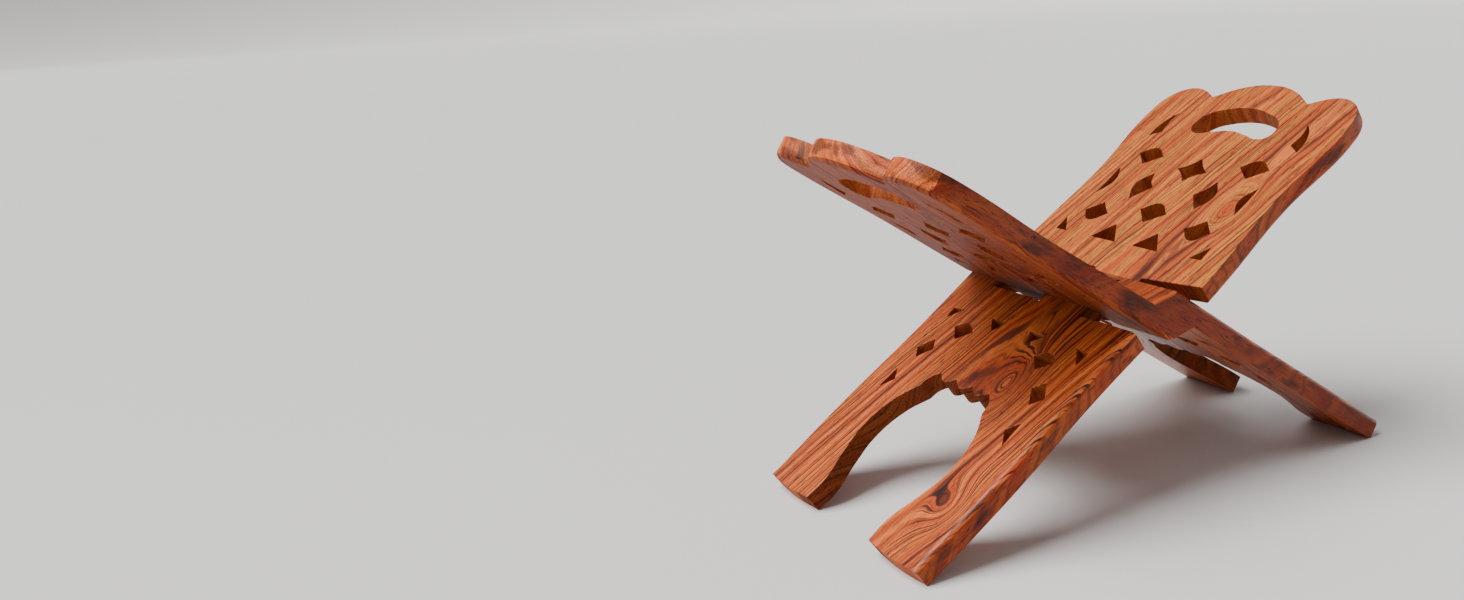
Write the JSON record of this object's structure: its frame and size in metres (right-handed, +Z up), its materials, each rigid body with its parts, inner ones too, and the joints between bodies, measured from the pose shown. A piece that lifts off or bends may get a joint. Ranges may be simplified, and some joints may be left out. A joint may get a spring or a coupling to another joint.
{
  "type": "folding quran stand",
  "caption": "Folding wooden book rest for a holy book: two pierced boards that cross in an X, interlocked by carved knuckles, with lobed tops, hand slots and arched feet.",
  "frame": {"origin": "on the floor under the middle of the hinge, with the stand open and standing on its feet", "axes": "+Z up; the hinge runs along Y; the leaves rise to +X and -X, and a reader sits at -Y or +Y"},
  "size_m": [0.3394, 0.1704, 0.2125],
  "materials": {
    "right_board_wood": "semi-gloss clear lacquer over striped orange-brown sheesham",
    "left_board_wood": "semi-gloss clear lacquer over striped red-brown sheesham"
  },
  "bodies": {
    "right_board": {"right_leaf_board": "right_board_wood"},
    "left_board": {"left_leaf_board": "left_board_wood"}
  },
  "joints": [
    {"name": "fold", "type": "hinge", "parent": "right_board", "child": "left_board", "pos_m": [0, 0, 0.10862], "axis": [0, 1, 0], "range_deg": [0, 112]}
  ]
}
